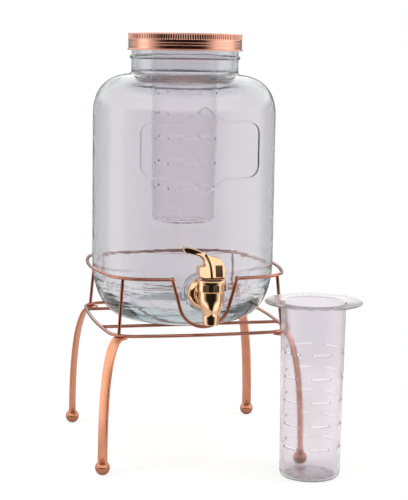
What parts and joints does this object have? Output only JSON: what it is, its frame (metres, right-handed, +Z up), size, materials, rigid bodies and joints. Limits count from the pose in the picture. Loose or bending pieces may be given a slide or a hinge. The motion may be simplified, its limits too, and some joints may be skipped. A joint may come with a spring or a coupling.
{
  "type": "drink dispenser",
  "caption": "Clear glass jar drink dispenser with screw lid, hanging slit infuser and lever tap, in a copper wire stand with strip legs and ball feet, with a second infuser.",
  "frame": {"origin": "on the table plane, under the jar's axis", "axes": "+Z up, -Y towards the tap's side, +X to the right as seen from the tap's side"},
  "size_m": [0.2898, 0.3384, 0.489],
  "materials": {
    "copper_wire": "copper plated, bright",
    "copper_satin": "copper plated, satin",
    "copper_polished": "copper plated, polished",
    "lid_copper": "copper coloured, satin",
    "tap_metal": "rose gold plated, polished",
    "glass": "clear, polished",
    "clear_plastic": "clear, polished",
    "lilac_plastic": "clear, faintly lilac, polished",
    "silicone": "satin",
    "steel": "satin",
    "spring_steel": "bright",
    "stem_brass": "turned",
    "nylon": "matte black"
  },
  "bodies": {
    "stand": {"lower_ring": "copper_wire", "upper_ring": "copper_wire", "tap_loop": "copper_wire", "crossbar_front": "copper_wire", "crossbar_back": "copper_wire", "post_front_left": "copper_wire", "leg_front_left": "copper_satin", "foot_front_left": "copper_polished", "post_front_right": "copper_wire", "leg_front_right": "copper_satin", "foot_front_right": "copper_polished", "post_back_left": "copper_wire", "leg_back_left": "copper_satin", "foot_back_left": "copper_polished", "post_back_right": "copper_wire", "leg_back_right": "copper_satin", "foot_back_right": "copper_polished"},
    "jar": {"glass_jar": "glass", "tap_body": "tap_metal", "bonnet_nut": "tap_metal", "valve_spring": "spring_steel", "outer_gasket": "silicone", "inner_gasket": "silicone", "inner_washer": "steel", "shank_nut": "steel"},
    "large_infuser": {"large_infuser": "clear_plastic"},
    "lid": {"lid_disc": "lid_copper", "lid_seal": "silicone"},
    "band": {"screw_band": "lid_copper"},
    "swivel": {"thrust_washer": "nylon"},
    "stem": {"valve_stem": "stem_brass", "valve_seal": "silicone"},
    "lever": {"lever": "tap_metal", "lever_pin": "steel"},
    "small_infuser": {"small_infuser": "lilac_plastic"}
  },
  "joints": [
    {"name": "jar_lift", "type": "slide", "parent": "stand", "child": "jar", "axis": [0, 0, 1], "range_m": [0, 0.1]},
    {"name": "large_infuser_lift", "type": "slide", "parent": "jar", "child": "large_infuser", "axis": [0, 0, 1], "range_m": [0, 0.24]},
    {"name": "lid_lift", "type": "slide", "parent": "large_infuser", "child": "lid", "axis": [0, 0, 1], "range_m": [0, 0.06]},
    {"name": "band_turn", "type": "hinge", "parent": "lid", "child": "band", "pos_m": [0, 0, 0.479], "axis": [0, 0, 1], "continuous": true},
    {"name": "lever_swivel", "type": "hinge", "parent": "jar", "child": "swivel", "pos_m": [0, -0.1463, 0.2223], "axis": [0, 0, 1], "range_deg": [-30, 210]},
    {"name": "stem_lift", "type": "slide", "parent": "swivel", "child": "stem", "axis": [0, 0, 1], "range_m": [0, 0.0025], "stiffness_N_per_m": 500, "springref_m": -0.001, "deforming": ["valve_spring"]},
    {"name": "lever_press", "type": "hinge", "parent": "stem", "child": "lever", "pos_m": [0, -0.1463, 0.232], "axis": [0, -1, 0], "range_deg": [0, 20]},
    {"name": "small_infuser_lift", "type": "slide", "parent": "stand", "child": "small_infuser", "axis": [0, 0, 1], "range_m": [0, 0.25]}
  ],
  "couplings": [
    {"joint": "lever_press", "follows": "stem_lift", "rad_per_m": 138.89}
  ]
}
